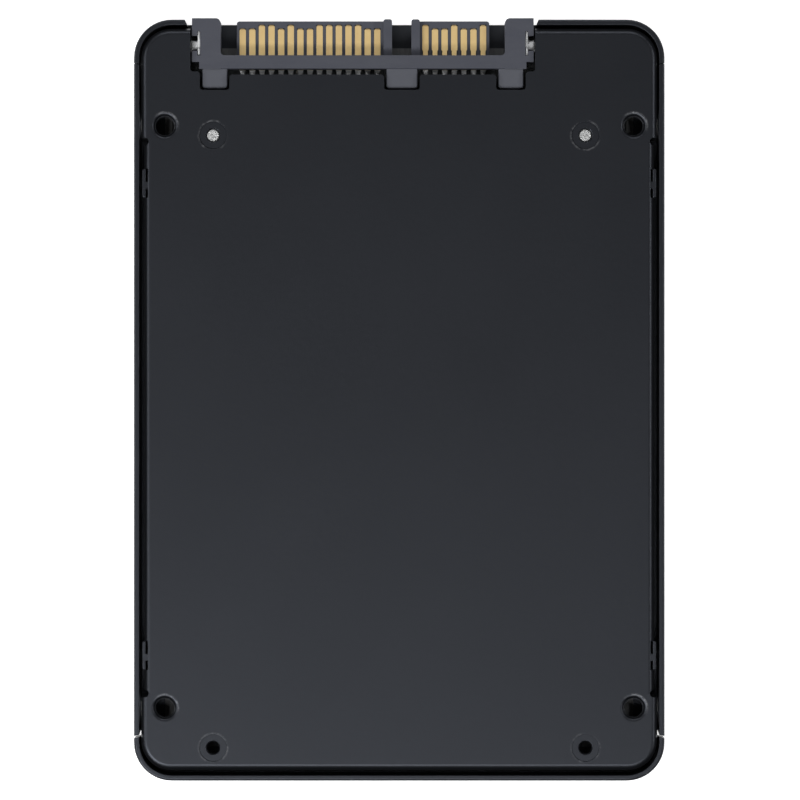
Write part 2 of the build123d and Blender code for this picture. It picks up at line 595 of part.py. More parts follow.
def make_gull_wing_chip(x, y):
    """An eight-lead memory for the drive's firmware."""
    body = block(about(x, 3.9), about(y, 4.9), (BOARD_Z[1] + 0.12, BOARD_Z[1] + 1.5))
    body = chamfer(body.faces().sort_by(Axis.Z)[-1].edges(), 0.15)
    for row in range(4):
        lead_y = y + (row - 1.5) * PITCH
        for side in (1, -1):
            low, high = mirrored(1.9, 2.5, side)
            body += block((x + low, x + high), about(lead_y, 0.42), (BOARD_Z[1] + 0.55, BOARD_Z[1] + 0.75))
            low, high = mirrored(2.3, 2.5, side)
            body += block((x + low, x + high), about(lead_y, 0.42), (BOARD_Z[1] + EPS, BOARD_Z[1] + 0.75))
            low, high = mirrored(2.3, 3.0, side)
            body += block((x + low, x + high), about(lead_y, 0.42), (BOARD_Z[1] + EPS, BOARD_Z[1] + 0.2))
    return body


def thermal_pad(x, y, size):
    """Soft gap filler between a package and the plate that cools it."""
    z = (BOARD_Z[1] + CHIP_HEIGHT + EPS, PLATE_FLOOR - EPS)
    return rounded(about(x, size[0]), about(y, size[1]), z, 0.8)


def make_capacitors():
    """Small decoupling capacitors: a row along each side of the controller and of each flash chip."""
    cx, cy = CONTROLLER_AT
    reach = CONTROLLER_SIZE[0] / 2 + 1.1
    spots = []
    for n in range(6):
        along = (n - 2.5) * 1.9
        spots += [(cx + along, cy + reach, True), (cx + along, cy - reach, True)]
        spots += [(cx + reach, cy + along, False), (cx - reach, cy + along, False)]
    for side in (1, -1):
        for n in range(5):
            spots.append((side * (FLASH_X + FLASH_SIZE[0] / 2 + 1.1), FLASH_Y + (n - 2) * 3.2, False))
    return [end_capped(x, y, *SMALL_CHIP, 0.5, upright) for x, y, upright in spots]


def make_resistors():
    """Resistors: a row behind the signal contacts and a row between the flash chips."""
    spots = [(PLUG_CENTRE + SIGNAL_FIRST + n * PITCH, 39.6) for n in range(7)]
    spots += [(-5.2 + n * 1.3, 13.0) for n in range(9)]
    return [end_capped(x, y, *SMALL_CHIP, 0.35, upright=True) for x, y in spots]


def main():
    os.makedirs("parts", exist_ok=True)
    save("cover", make_cover())
    save("label", label_panel((LABEL_SUNK - LABEL_FILM, LABEL_SUNK)))
    save("base_plate", make_base_plate())
    save("circuit_board", make_board())

    sides = {"left": -1, "right": 1}
    for name, side in sides.items():
        x = side * BOARD_SCREW_X
        save(f"board_standoff_{name}", make_standoff(x, BOARD_SCREW_Y))
        save(f"spare_standoff_{name}", make_standoff(x, SPARE_SCREW_Y))
        save(f"board_screw_{name}", make_board_screw(x, BOARD_SCREW_Y))

    save("plug_housing", make_housing())
    contacts = all_contacts()
    groups = {
        "power_contacts_long": [c for c in contacts if not c[2] and c[1] == LONG_TIP],
        "power_contacts_short": [c for c in contacts if not c[2] and c[1] == SHORT_TIP],
        "signal_contacts_long": [c for c in contacts if c[2] and c[1] == LONG_TIP],
        "signal_contacts_short": [c for c in contacts if c[2] and c[1] == SHORT_TIP],
    }
    for name, group in groups.items():
        save(name, *[make_contact(*c) for c in group])
    for name, side in sides.items():
        save(f"board_lock_{name}", make_board_lock(side))

    save("controller_chip", chip(*CONTROLLER_AT, CONTROLLER_SIZE))
    save("controller_thermal_pad", thermal_pad(*CONTROLLER_AT, CONTROLLER_PAD_SIZE))
    for name, side in sides.items():
        x = side * FLASH_X
        save(f"flash_chip_upper_{name}", chip(x, FLASH_Y, FLASH_SIZE))
        save(f"flash_chip_lower_{name}", chip(x, FLASH_Y, FLASH_SIZE, height=LOWER_CHIP_HEIGHT, below=True))
        save(f"flash_thermal_pad_{name}", thermal_pad(x, FLASH_Y, FLASH_PAD_SIZE))
    save("firmware_chip", make_gull_wing_chip(*FIRMWARE_AT))
    save("power_regulator", chip(*REGULATOR_AT, (4.0, 4.0), height=0.85))
    save("input_protector", chip(*PROTECTOR_AT, (2.0, 2.0), height=0.75))
    save("clock_crystal", make_crystal(*CRYSTAL_AT))
    save("power_inductors", *[make_inductor(x, y) for x, y in INDUCTORS_AT])
    save("bulk_capacitors", *[end_capped(x, BULK_CAPACITORS_Y, 3.2, 1.6, 1.4, upright=True)
                              for x in BULK_CAPACITORS_X])
    save("ceramic_capacitors", *make_capacitors())
    save("chip_resistors", *make_resistors())
    film_z = (COVER_SHEET + EPS, COVER_SHEET + EPS + FILM_THICKNESS)
    save("insulating_film", rounded(FILM_X, FILM_Y, film_z, 2.0))


main()
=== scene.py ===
import json
import math
import bpy
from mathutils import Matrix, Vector


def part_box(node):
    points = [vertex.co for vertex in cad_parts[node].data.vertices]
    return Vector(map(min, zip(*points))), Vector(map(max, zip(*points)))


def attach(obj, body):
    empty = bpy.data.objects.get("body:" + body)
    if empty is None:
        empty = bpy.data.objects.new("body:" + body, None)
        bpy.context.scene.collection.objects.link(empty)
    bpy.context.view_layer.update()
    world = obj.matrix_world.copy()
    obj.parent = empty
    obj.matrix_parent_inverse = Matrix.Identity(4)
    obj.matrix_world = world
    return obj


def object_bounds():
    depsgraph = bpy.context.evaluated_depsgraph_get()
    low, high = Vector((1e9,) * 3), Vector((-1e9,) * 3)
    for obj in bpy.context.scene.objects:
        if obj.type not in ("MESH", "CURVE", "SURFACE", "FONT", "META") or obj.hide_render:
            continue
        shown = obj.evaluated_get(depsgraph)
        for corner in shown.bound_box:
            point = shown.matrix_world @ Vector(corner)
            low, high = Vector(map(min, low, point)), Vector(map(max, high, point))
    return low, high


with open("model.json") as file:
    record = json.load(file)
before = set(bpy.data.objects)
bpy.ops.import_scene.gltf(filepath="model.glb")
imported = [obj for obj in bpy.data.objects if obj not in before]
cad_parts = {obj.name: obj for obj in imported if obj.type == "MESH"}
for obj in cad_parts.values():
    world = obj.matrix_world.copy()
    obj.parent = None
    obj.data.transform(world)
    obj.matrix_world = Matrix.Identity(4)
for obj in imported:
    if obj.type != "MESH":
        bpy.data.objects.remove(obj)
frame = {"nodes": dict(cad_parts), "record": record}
cad_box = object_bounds()

# The drive lies on its label face, mounting face up, plug towards +Y. Blender's lengths are metres, and
# the materials work in millimetres of the object's own space.
MM = 0.001
record = frame["record"]
nodes = frame["nodes"]
mounts = {m["name"]: m for m in record["mounts"]}


def box_mm(node):
    """A node's lowest and highest corner, in millimetres."""
    low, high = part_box(node)
    return low / MM, high / MM


# ---------------------------------------------------------------- material graphs
class Graph:
    """One procedural material round a Principled shader."""

    def __init__(self, name, **constants):
        self.material = bpy.data.materials.new(name)
        self.material.use_nodes = True
        self.tree = self.material.node_tree
        self.shader = self.tree.nodes["Principled BSDF"]
        for socket, value in constants.items():
            self.shader.inputs[socket.replace("_", " ")].default_value = value
        coordinates = self.add("ShaderNodeTexCoord").outputs["Object"]
        self.place = self.vector("MULTIPLY", coordinates, (1 / MM, 1 / MM, 1 / MM))
        split = self.add("ShaderNodeSeparateXYZ", self.place)
        self.x, self.y, self.z = split.outputs

    def add(self, kind, *inputs, **settings):
        """A new node. Each input is a link from another node, or a plain value."""
        node = self.tree.nodes.new(kind)
        for setting, value in settings.items():
            setattr(node, setting, value)
        for socket, value in zip(node.inputs, inputs):
            self.plug(value, socket)
        return node

    def plug(self, value, socket):
        if isinstance(value, bpy.types.NodeSocket):
            self.tree.links.new(value, socket)
        elif value is not None:
            socket.default_value = value

    def math(self, operation, *inputs):
        return self.add("ShaderNodeMath", *inputs, operation=operation).outputs[0]

    def times(self, first, *others):
        """The product of two or more values."""
        for other in others:
            first = self.math("MULTIPLY", first, other)
        return first

    def mean(self, first, second, share=0.5):
        """`share` of the first value plus the rest of the second."""
        return self.math("ADD", self.times(first, share), self.times(second, 1.0 - share))

    def vector(self, operation, *inputs):
        return self.add("ShaderNodeVectorMath", *inputs, operation=operation).outputs[0]

    def stretched(self, x, y, z):
        """The position with its axes scaled, for grain that runs one way."""
        return self.vector("MULTIPLY", self.place, (x, y, z))

    def noise(self, per_mm, detail=3.0, rough=0.55, place=None):
        node = self.add("ShaderNodeTexNoise", place or self.place)
        node.inputs["Scale"].default_value = per_mm
        node.inputs["Detail"].default_value = detail
        node.inputs["Roughness"].default_value = rough
        return node.outputs["Fac"]

    def cells(self, per_mm, feature="F1", output="Distance"):
        node = self.add("ShaderNodeTexVoronoi", self.place, feature=feature)
        node.inputs["Scale"].default_value = per_mm
        return node.outputs[output]

    def span(self, value, low, high, to_low=0.0, to_high=1.0):
        """Maps low..high to to_low..to_high, and holds the ends."""
        return self.add("ShaderNodeMapRange", value, low, high, to_low, to_high).outputs["Result"]

    def blend(self, share, first, second):
        """A colour between two others."""
        node = self.add("ShaderNodeMix", data_type="RGBA")
        self.plug(share, node.inputs["Factor"])
        for socket, value in ((node.inputs[6], first), (node.inputs[7], second)):
            self.plug((*value, 1.0) if isinstance(value, tuple) else value, socket)
        return node.outputs[2]

    def colour(self, value):
        self.plug(value, self.shader.inputs["Base Color"])

    def roughness(self, value):
        self.plug(value, self.shader.inputs["Roughness"])

    def rounded(self, reach):
        """The surface's normal with its edges softened over `reach` mm."""
        return self.add("ShaderNodeBevel", reach * MM, samples=4).outputs["Normal"]

    def relief(self, *layers, edge=None):
        """Bumps from (height, depth in mm) layers, over edges rounded by `edge` mm."""
        normal = None
        if edge:
            normal = self.rounded(edge)
        for height, depth in layers:
            bump = self.add("ShaderNodeBump")
            bump.inputs["Strength"].default_value = 1.0
            bump.inputs["Distance"].default_value = depth * MM
            self.plug(height, bump.inputs["Height"])
            self.plug(normal, bump.inputs["Normal"])
            normal = bump.outputs["Normal"]
        self.plug(normal, self.shader.inputs["Normal"])

    def edges(self, reach):
        """1 on outer and inner edges within `reach` mm, 0 on open faces."""
        true = self.add("ShaderNodeNewGeometry").outputs["Normal"]
        dot = self.add("ShaderNodeVectorMath", self.rounded(reach), true, operation="DOT_PRODUCT")
        return self.span(dot.outputs["Value"], 0.995, 0.9)

    def rings(self, centres, radius, width, toward=None):
        """1 on a ring round any of these upright (x, y) axes, or on its half that faces `toward`."""
        total = 0.0
        for cx, cy in centres:
            dx = self.math("SUBTRACT", self.x, cx)
            dy = self.math("SUBTRACT", self.y, cy)
            square = self.math("ADD", self.times(dx, dx), self.times(dy, dy))
            off = self.math("ABSOLUTE", self.math("SUBTRACT", self.math("SQRT", square), radius))
            ring = self.span(off, width, width * 0.3)
            if toward:
                lean = self.math("ADD", self.times(dx, toward[0]), self.times(dy, toward[1]))
                ring = self.times(ring, self.span(lean, 0.1 * radius, 0.8 * radius))
            total = self.math("MAXIMUM", ring, total)
        return total


def bolt_places(name):
    """The (x, y) of a bottom bolt pattern's holes, in millimetres."""
    mount = mounts[name]
    middle = Vector(mount["pos_m"]) / MM
    dx, dy = mount["dims"]["spacing_x_mm"] / 2, mount["dims"]["spacing_y_mm"] / 2
    return [(middle.x + sx * dx, middle.y + sy * dy) for sy in (1, -1) for sx in (-1, 1)]


def standoff_places():
    """The (x, y) of the four clinched standoffs."""
    names = [f"{kind}_standoff_{side}" for kind in ("board", "spare") for side in ("left", "right")]
    return [((low.x + high.x) / 2, (low.y + high.y) / 2) for low, high in map(box_mm, names)]


# ---------------------------------------------------------------- places (mm) and tones
SCREW_HOLES = bolt_places("bottom_screw_holes")
STANDOFFS = standoff_places()
CASE_HALF = box_mm("cover")[1]
FACE_TOP = box_mm("base_plate")[1].z
BOARD_TOP = box_mm("circuit_board")[1].z
# The plug's bar lies behind the guides' tips. The contacts' solder tails and the housing's legs are behind
# its rear face, and the contacts' mating lengths are in front of it.
BAR_SET_BACK = 6.68
BAR_DEPTH = 1.8
BAR_REAR = box_mm("plug_housing")[1].y - BAR_SET_BACK
BAR_FRONT = BAR_REAR + BAR_DEPTH
# A chip part's tinned ends stand a little higher than its body, which ends at the seam.
CAPACITOR_SEAM = {"ceramic_capacitors": BOARD_TOP + 0.485, "bulk_capacitors": BOARD_TOP + 1.36}
RESISTOR_SEAM = BOARD_TOP + 0.34
CRYSTAL_LID = 0.3

BLACK = (0.0036, 0.0039, 0.0048)
PAINT_SHEEN = (0.80, 0.86, 1.0, 1.0)
PAINT_ROUGH = (0.375, 0.405)
# Bare steel, also used as a painted highlight on the rings round the holes.
BARE_STEEL_AND_HIGHLIGHT = (0.17, 0.173, 0.178)
# Painted light: a paler paint colour down in the gaps and the bores, inside the rim, standing in for the
# light that reaches into them.
RECESS_PAINTED_LIGHT = (0.019, 0.020, 0.022)
TIN_TONE = (0.90, 0.91, 0.92)
# The contacts' mating length falls away towards its tip by this much per mm.
CONTACT_SLOPE = -0.11

# Rings on the plate's face, lightened towards bare steel: centres, radius, half width, the side it is on,
# strength, and how broken up it is. Round the screw holes the ring is a painted highlight on one side, the
# arc of each rolled hole edge that the key light picks out; round the standoffs it is rubbed paint, partly
# a painted highlight.
WORN_AND_HIGHLIGHT_RINGS = (
    (SCREW_HOLES, 1.78, 0.19, (0.55, 0.83), 0.95, 0.35),
    (STANDOFFS, 1.9, 0.2, None, 0.36, 0.95),
)


# ---------------------------------------------------------------- materials
def paint(name, tone, worn_and_highlight_rings=()):
    """Satin powder paint: orange peel, faint clouding, rubbed edges that are lightened partly as a painted
    highlight, and recesses painted lighter as painted light.
    """
    g = Graph(name, Specular_Tint=PAINT_SHEEN)
    clouds = g.noise(0.05, 3.0)
    fine = g.noise(5.0, 2.0)
    peel = g.noise(1.3, 2.0, 0.5)
    grain = g.noise(14.0, 2.0, 0.6)
    dark = tuple(c * 0.9 for c in tone)
    light = tuple(c * 1.1 for c in tone)
    base = g.blend(g.span(g.mean(clouds, fine), 0.3, 0.7), dark, light)
    # Edges lightened in colour: partly rubbed paint, partly a painted highlight along the edges.
    rub_and_edge_highlight = g.times(g.edges(0.12), g.span(g.noise(0.9, 3.0), 0.42, 0.66))
    # Painted light: below the face and inside the rim the paint is lifted to a lighter colour, in place of
    # light reaching down into gaps and bores.
    inside_x = g.span(g.math("ABSOLUTE", g.x), CASE_HALF.x - 0.4, CASE_HALF.x - 0.6)
    inside_y = g.span(g.math("ABSOLUTE", g.y), CASE_HALF.y - 0.4, CASE_HALF.y - 0.6)
    sunk = g.times(g.span(g.z, FACE_TOP - 0.2, FACE_TOP - 1.0), inside_x, inside_y)
    base = g.blend(g.times(sunk, g.span(clouds, 0.2, 0.8, 0.8, 1.0)), base, RECESS_PAINTED_LIGHT)
    base = g.blend(g.times(rub_and_edge_highlight, 0.8), base, tuple(c * 7.0 for c in tone))
    face = g.span(g.z, FACE_TOP - 1.0, FACE_TOP - 0.6)
    # Each ring lightens the paint towards bare steel: rubbed paint, and on the side given by toward a
    # painted highlight.
    for centres, radius, width, toward, strength, broken in worn_and_highlight_rings:
        arcs = g.span(g.noise(0.42, 2.0), 0.46, 0.55, 1.0 - broken, 1.0)
        scuffs = g.span(g.noise(1.7, 4.0, 0.7), 0.4, 0.62)
        ring = g.times(g.rings(centres, radius, width, toward), arcs, face, scuffs)
        base = g.blend(g.times(ring, strength), base, BARE_STEEL_AND_HIGHLIGHT)
    g.colour(base)
    rough = g.span(g.math("ADD", clouds, g.times(fine, 1.5)), 0.9, 1.6, *PAINT_ROUGH)
    g.roughness(g.math("SUBTRACT", rough, g.times(rub_and_edge_highlight, 0.14)))
    g.relief((peel, 0.006), (grain, 0.0022), edge=0.07)
    return g.material


def slate_nylon():
    """Glass-filled nylon: blue-grey, flow clouding, short pale fibres under the skin."""
    g = Graph("slate_nylon", IOR=1.5)
    flow = g.noise(0.35, 3.0, place=g.stretched(0.5, 1.6, 1.0))
    fibres = g.noise(7.0, 2.0, place=g.stretched(0.35, 1.4, 1.0))
    specks = g.span(g.cells(6.5), 0.16, 0.04)
    base = g.blend(g.span(flow, 0.3, 0.7), (0.040, 0.0435, 0.060), (0.048, 0.0515, 0.068))
    base = g.blend(g.times(g.span(fibres, 0.55, 0.75), 0.35), base, (0.064, 0.067, 0.080))
    base = g.blend(g.times(specks, 0.25), base, (0.10, 0.105, 0.115))
    # Painted highlight: the housing's edges are lightened in colour, as if catching the light.
    edge = g.times(g.edges(0.14), g.span(g.noise(0.8), 0.35, 0.65))
    # Painted light: the legs behind the bar are made lighter, to lift the shade that the bar and plate
    # cast on them.
    leg = g.span(g.y, BAR_REAR + 0.05, BAR_REAR - 0.05)
    base = g.blend(g.times(leg, 0.5), base, (0.086, 0.091, 0.107))
    g.colour(g.blend(g.times(edge, 0.4), base, (0.10, 0.104, 0.12)))
    g.roughness(g.span(g.noise(2.2, 3.0), 0.3, 0.7, 0.46, 0.6))
    g.relief((g.noise(3.2, 3.0, 0.6), 0.006), (g.noise(18.0, 2.0), 0.003), edge=0.06)
    return g.material


def contact_plating():
    """Gold over nickel on the mating length, tin on the solder tail, with rubbed streaks along it."""
    g = Graph("contact_plating", Metallic=1.0)
    streaks = g.noise(3.0, 3.0, 0.6, place=g.stretched(3.0, 0.25, 1.0))
    blotches = g.noise(0.9, 3.0)
    gold = g.blend(g.span(blotches, 0.3, 0.7), (0.90, 0.68, 0.335), (0.95, 0.75, 0.39))
    gold = g.blend(g.times(g.span(streaks, 0.52, 0.7), 0.45), gold, (0.97, 0.83, 0.53))
    # Painted highlight: the plating's edges are lightened in colour.
    gold = g.blend(g.times(g.edges(0.12), 0.5), gold, (0.97, 0.87, 0.62))
    # Painted shade: towards its tip the gold is darkened, to match the part near the bar that lies in the
    # bar's shadow.
    painted_tip_shade = g.span(g.y, BAR_FRONT + 0.6, BAR_FRONT + 2.2)
    gold = g.blend(g.times(painted_tip_shade, 0.42), gold, (0.48, 0.34, 0.165))
    tinned = g.blend(blotches, (0.84, 0.85, 0.86), (0.93, 0.94, 0.95))
    g.colour(g.blend(g.span(g.y, BAR_REAR + 0.1, BAR_REAR - 0.1), gold, tinned))
    g.roughness(g.span(g.math("ADD", streaks, g.times(blotches, 0.5)), 0.5, 1.0, 0.60, 0.70))
    g.relief((g.y, CONTACT_SLOPE), (streaks, 0.002), (g.noise(11.0, 2.0), 0.0012), edge=0.07)
    return g.material


def matt_tin():
    """Tin plate and solder: soft crystals, shallow flow wrinkles."""
    g = Graph("tinned_brass", Metallic=0.72)
    crystals = g.cells(1.6)
    shaded = tuple(c * 0.86 for c in TIN_TONE)
    g.colour(g.blend(g.span(crystals, 0.1, 0.7), TIN_TONE, shaded))
    g.roughness(g.span(g.noise(2.4, 3.0), 0.3, 0.7, 0.52, 0.66))
    g.relief((g.noise(2.1, 3.0, 0.6), 0.006), (crystals, 0.0018), edge=0.16)
    return g.material


def zinc_screw():
    """Zinc plated steel with a cropped, slightly ragged tip."""
    g = Graph("zinc_screw", Metallic=1.0)
    swirl = g.noise(3.4, 4.0, 0.65)
    g.colour(g.blend(g.span(swirl, 0.3, 0.7), (0.25, 0.26, 0.27), (0.60, 0.60, 0.59)))
    g.roughness(g.span(g.noise(6.0, 2.0), 0.3, 0.7, 0.3, 0.5))
    g.relief((swirl, 0.09), (g.noise(9.0, 2.0), 0.012), edge=0.08)
    return g.material


def solder_mask():
    """Black solder mask over copper: raised traces, tinned dots of vias."""
    g = Graph("solder_mask", Specular_IOR_Level=0.5)
    lanes = g.cells(0.55, feature="DISTANCE_TO_EDGE")
    traces = g.span(lanes, 0.05, 0.09)
    fine = g.noise(3.0, 3.0)
    vias = g.span(g.cells(0.42), 0.11, 0.08)
    base = g.blend(traces, (0.020, 0.026, 0.027), (0.012, 0.014, 0.016))
    base = g.blend(g.times(fine, 0.4), base, (0.019, 0.021, 0.023))
    g.colour(g.blend(vias, base, (0.42, 0.40, 0.35)))
    g.roughness(g.span(fine, 0.3, 0.7, 0.34, 0.46))
    g.relief((traces, 0.02), (fine, 0.004), edge=0.05)
    return g.material


def chip_resin():
    """Moulded epoxy: matt black with a fine frosted skin."""
    g = Graph("chip_resin")
    frost = g.noise(9.0, 3.0, 0.7)
    cloud = g.noise(0.3, 2.0)
    base = g.blend(g.span(frost, 0.35, 0.65), (0.014, 0.014, 0.015), (0.030, 0.030, 0.032))
    g.colour(g.blend(g.times(cloud, 0.4), base, (0.022, 0.022, 0.024)))
    g.roughness(g.span(frost, 0.3, 0.7, 0.5, 0.66))
    g.relief((frost, 0.006), edge=0.06)
    return g.material


def speckled(name, dark, light, per_mm, rough, depth):
    """A cast or sintered material: two tones in grains, pitted."""
    g = Graph(name)
    grains = g.cells(per_mm, output="Color")
    tone = g.add("ShaderNodeSeparateColor", grains).outputs[0]
    g.colour(g.blend(g.mean(tone, g.noise(0.5, 3.0), 0.6), dark, light))
    g.roughness(g.span(tone, 0.0, 1.0, rough - 0.06, rough + 0.06))
    g.relief((g.noise(per_mm, 3.0), depth), edge=0.06)
    return g.material


def capped(name, body, seam):
    """A chip part: a glazed body whose taller end caps, above height `seam`, are tinned."""
    g = Graph(name)
    cap = g.span(g.z, seam - 0.004, seam + 0.004)
    mottle = g.noise(4.0, 3.0)
    tone = g.blend(mottle, body, tuple(c * 1.35 for c in body))
    g.colour(g.blend(cap, tone, (0.72, 0.72, 0.71)))
    g.plug(cap, g.shader.inputs["Metallic"])
    g.roughness(g.span(mottle, 0.3, 0.7, 0.32, 0.5))
    g.relief((mottle, 0.006), edge=0.05)
    return g.material


def crystal_can():
    """A ceramic base under a seam-welded nickel lid."""
    g = Graph("crystal_can")
    seam = box_mm("clock_crystal")[1].z - CRYSTAL_LID
    lid = g.span(g.z, seam - 0.01, seam + 0.01)
    brushed = g.noise(5.0, 3.0, place=g.stretched(0.2, 3.0, 1.0))
    ceramic = g.blend(brushed, (0.50, 0.46, 0.38), (0.62, 0.58, 0.50))
    nickel = g.blend(brushed, (0.55, 0.54, 0.50), (0.74, 0.73, 0.68))
    g.colour(g.blend(lid, ceramic, nickel))
    g.plug(lid, g.shader.inputs["Metallic"])
    g.roughness(g.span(brushed, 0.3, 0.7, 0.26, 0.42))
    g.relief((brushed, 0.003), edge=0.05)
    return g.material


def label_film():
    """A blank matte film: a fine printed grain, and a thin paler border line."""
    low, high = box_mm("label")
    g = Graph("label_film")
    grain = g.noise(6.0, 3.0, 0.6)
    sheen = g.noise(0.04, 2.0)
    side = g.math("SUBTRACT", high.x, g.math("ABSOLUTE", g.x))
    middle_y = (low.y + high.y) / 2
    along = g.math("ABSOLUTE", g.math("SUBTRACT", g.y, middle_y))
    end = g.math("SUBTRACT", (high.y - low.y) / 2, along)
    inset = g.math("MINIMUM", side, end)
    line = g.span(g.math("ABSOLUTE", g.math("SUBTRACT", inset, 2.4)), 0.2, 0.14)
    base = g.blend(g.span(grain, 0.35, 0.65), (0.080, 0.084, 0.092), (0.100, 0.104, 0.113))
    base = g.blend(g.times(sheen, 0.3), base, (0.12, 0.125, 0.135))
    g.colour(g.blend(g.times(line, 0.8), base, (0.34, 0.35, 0.37)))
    g.roughness(g.span(grain, 0.3, 0.7, 0.48, 0.6))
    g.relief((grain, 0.004), edge=0.04)
    return g.material


def polyester():
    """Thin grey film, glossy, with slow ripples."""
    g = Graph("polyester_film")
    ripples = g.noise(0.12, 2.0)
    scuffs = g.noise(2.0, 3.0, place=g.stretched(1.0, 0.2, 1.0))
    g.colour(g.blend(g.span(scuffs, 0.4, 0.7), (0.12, 0.123, 0.126), (0.17, 0.173, 0.176)))
    g.roughness(g.span(scuffs, 0.3, 0.7, 0.34, 0.5))
    g.relief((ripples, 0.08), (scuffs, 0.002))
    return g.material


finishes = {
    "case_paint": paint("case_paint", BLACK, WORN_AND_HIGHLIGHT_RINGS),
    "standoff_paint": paint("standoff_paint", tuple(c * 1.1 for c in BLACK)),
    "label_film": label_film(),
    "insulating_film": polyester(),
    "board": solder_mask(),
    "screw_steel": zinc_screw(),
    "plug_plastic": slate_nylon(),
    "contact_gold": contact_plating(),
    "tinned_brass": matt_tin(),
    "chip_resin": chip_resin(),
    "thermal_pad": speckled("gap_filler", (0.30, 0.32, 0.35), (0.44, 0.46, 0.49), 7.0, 0.78, 0.012),
    "crystal_can": crystal_can(),
    "ferrite": speckled("ferrite", (0.045, 0.046, 0.050), (0.085, 0.086, 0.090), 9.0, 0.66, 0.010),
    "resistor_film": capped("resistor_film", (0.020, 0.020, 0.022), RESISTOR_SEAM),
}
node_finishes = {
    name: capped("capacitor_" + name.split("_")[0], (0.29, 0.19, 0.11), seam)
    for name, seam in CAPACITOR_SEAM.items()
}


def dress(piece, material):
    piece.data.materials.clear()
    piece.data.materials.append(material)


for subpart in record["subparts"]:
    name = subpart["node"]
    dress(nodes[name], node_finishes.get(name) or finishes[subpart["material_slot"]])


# ---------------------------------------------------------------- detail pieces
def add_piece(name, verts, faces, slot, smooth=True):
    """A mesh in metres from points in millimetres, riding on the drive."""
    mesh = bpy.data.meshes.new(name)
    mesh.from_pydata([Vector(v) * MM for v in verts], [], faces)
    mesh.validate()
    for polygon in mesh.polygons:
        polygon.use_smooth = smooth
    piece = bpy.data.objects.new(name, mesh)
    bpy.context.scene.collection.objects.link(piece)
    dress(piece, finishes[slot])
    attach(piece, "root")


def loft(rings):
    """Points and faces of a closed skin over rings of equal length, with capped ends."""
    count = len(rings[0])
    verts = [point for ring in rings for point in ring]
    faces = []
    for level in range(len(rings) - 1):
        for n in range(count):
            a = level * count + n
            b = level * count + (n + 1) % count
            faces.append((a, b, b + count, a + count))
    faces.append(tuple(reversed(range(count))))
    faces.append(tuple(range(len(verts) - count, len(verts))))
    return verts, faces


def joined(parts):
    """Several (points, faces) pairs as one."""
    verts, faces = [], []
    for part_verts, part_faces in parts:
        start = len(verts)
        verts += part_verts
        faces += [tuple(start + n for n in face) for face in part_faces]
    return verts, faces


SIDES = (("left", -1), ("right", 1))

THREAD_PITCH = 0.5
THREAD_HALF = THREAD_PITCH * 0.34
THREAD_CREST_HALF = THREAD_HALF * 0.15
THREAD_RIDGE = 0.08
THREAD_ROOT_SINK = 0.01
THREAD_STEPS = 32
THREAD_FADE_STEPS = 8
BOTTOM_THREAD = 1.3
SIDE_THREAD = 1.5


def thread(origin, axis, radius, length):
    """A helical ridge on the wall of a bore that runs inward from origin, against the axis."""
    turn = Vector((0, 0, 1)).rotation_difference(axis).to_matrix()
    root = radius + THREAD_ROOT_SINK
    rings = []
    steps = int(THREAD_STEPS * (length - 2 * THREAD_HALF) / THREAD_PITCH)
    for step in range(steps + 1):
        angle = 2 * math.pi * step / THREAD_STEPS
        depth = THREAD_HALF + THREAD_PITCH * step / THREAD_STEPS
        fade = min(1.0, step / THREAD_FADE_STEPS, (steps - step) / THREAD_FADE_STEPS)
        crest = radius - THREAD_RIDGE * fade
        out = Vector((math.cos(angle), math.sin(angle), 0))
        profile = ((root, -THREAD_HALF), (crest, -THREAD_CREST_HALF),
                   (crest, THREAD_CREST_HALF), (root, THREAD_HALF))
        rings.append([origin + turn @ (out * r + Vector((0, 0, -depth - z))) for r, z in profile])
    return loft(rings)


def tapped_holes():
    """A thread in each of the four bottom and four side screw holes."""
    parts = []
    bottom = mounts["bottom_screw_holes"]
    radius = bottom["dims"]["hole_r_mm"]
    top = bottom["pos_m"][2] / MM
    for x, y in SCREW_HOLES:
        parts.append(thread(Vector((x, y, top)), Vector((0, 0, 1)), radius, BOTTOM_THREAD))
    for name in ("side_screw_holes_left", "side_screw_holes_right"):
        mount = mounts[name]
        middle = Vector(mount["pos_m"]) / MM
        for way in (1, -1):
            at = middle + Vector((0, way * mount["dims"]["spacing_x_mm"] / 2, 0))
            parts.append(thread(at, Vector(mount["axis"]), mount["dims"]["hole_r_mm"], SIDE_THREAD))
    return parts


CONTACT_PITCH = 1.27
# One node of each row that reaches both of the row's ends, with the row's number of contacts.
CONTACT_ROWS = (("power_contacts_short", 15), ("signal_contacts_long", 7))


def contact_places():
    """The x of every contact: 15 power and 7 signal, at one pitch."""
    places = []
    for node, count in CONTACT_ROWS:
        low, high = box_mm(node)
        middle = (low.x + high.x) / 2
        places += [middle + (n - (count - 1) / 2) * CONTACT_PITCH for n in range(count)]
    return places


TAIL_HALF = 0.21
TAIL_RISE = 0.21
SHOULDER_RISE = 0.13
BEAD_STEPS = 14
BEAD_SKIN = 0.045
BEAD_FAN = 0.19
BEAD_FOOT = 0.13
BEAD_RIPPLE = 0.02
# One side of a bead's section, from its foot up: share of its half width, share of its height.
BEAD_FLANK = ((0.96, 0.55), (0.72, 0.86), (0.3, 1.0))


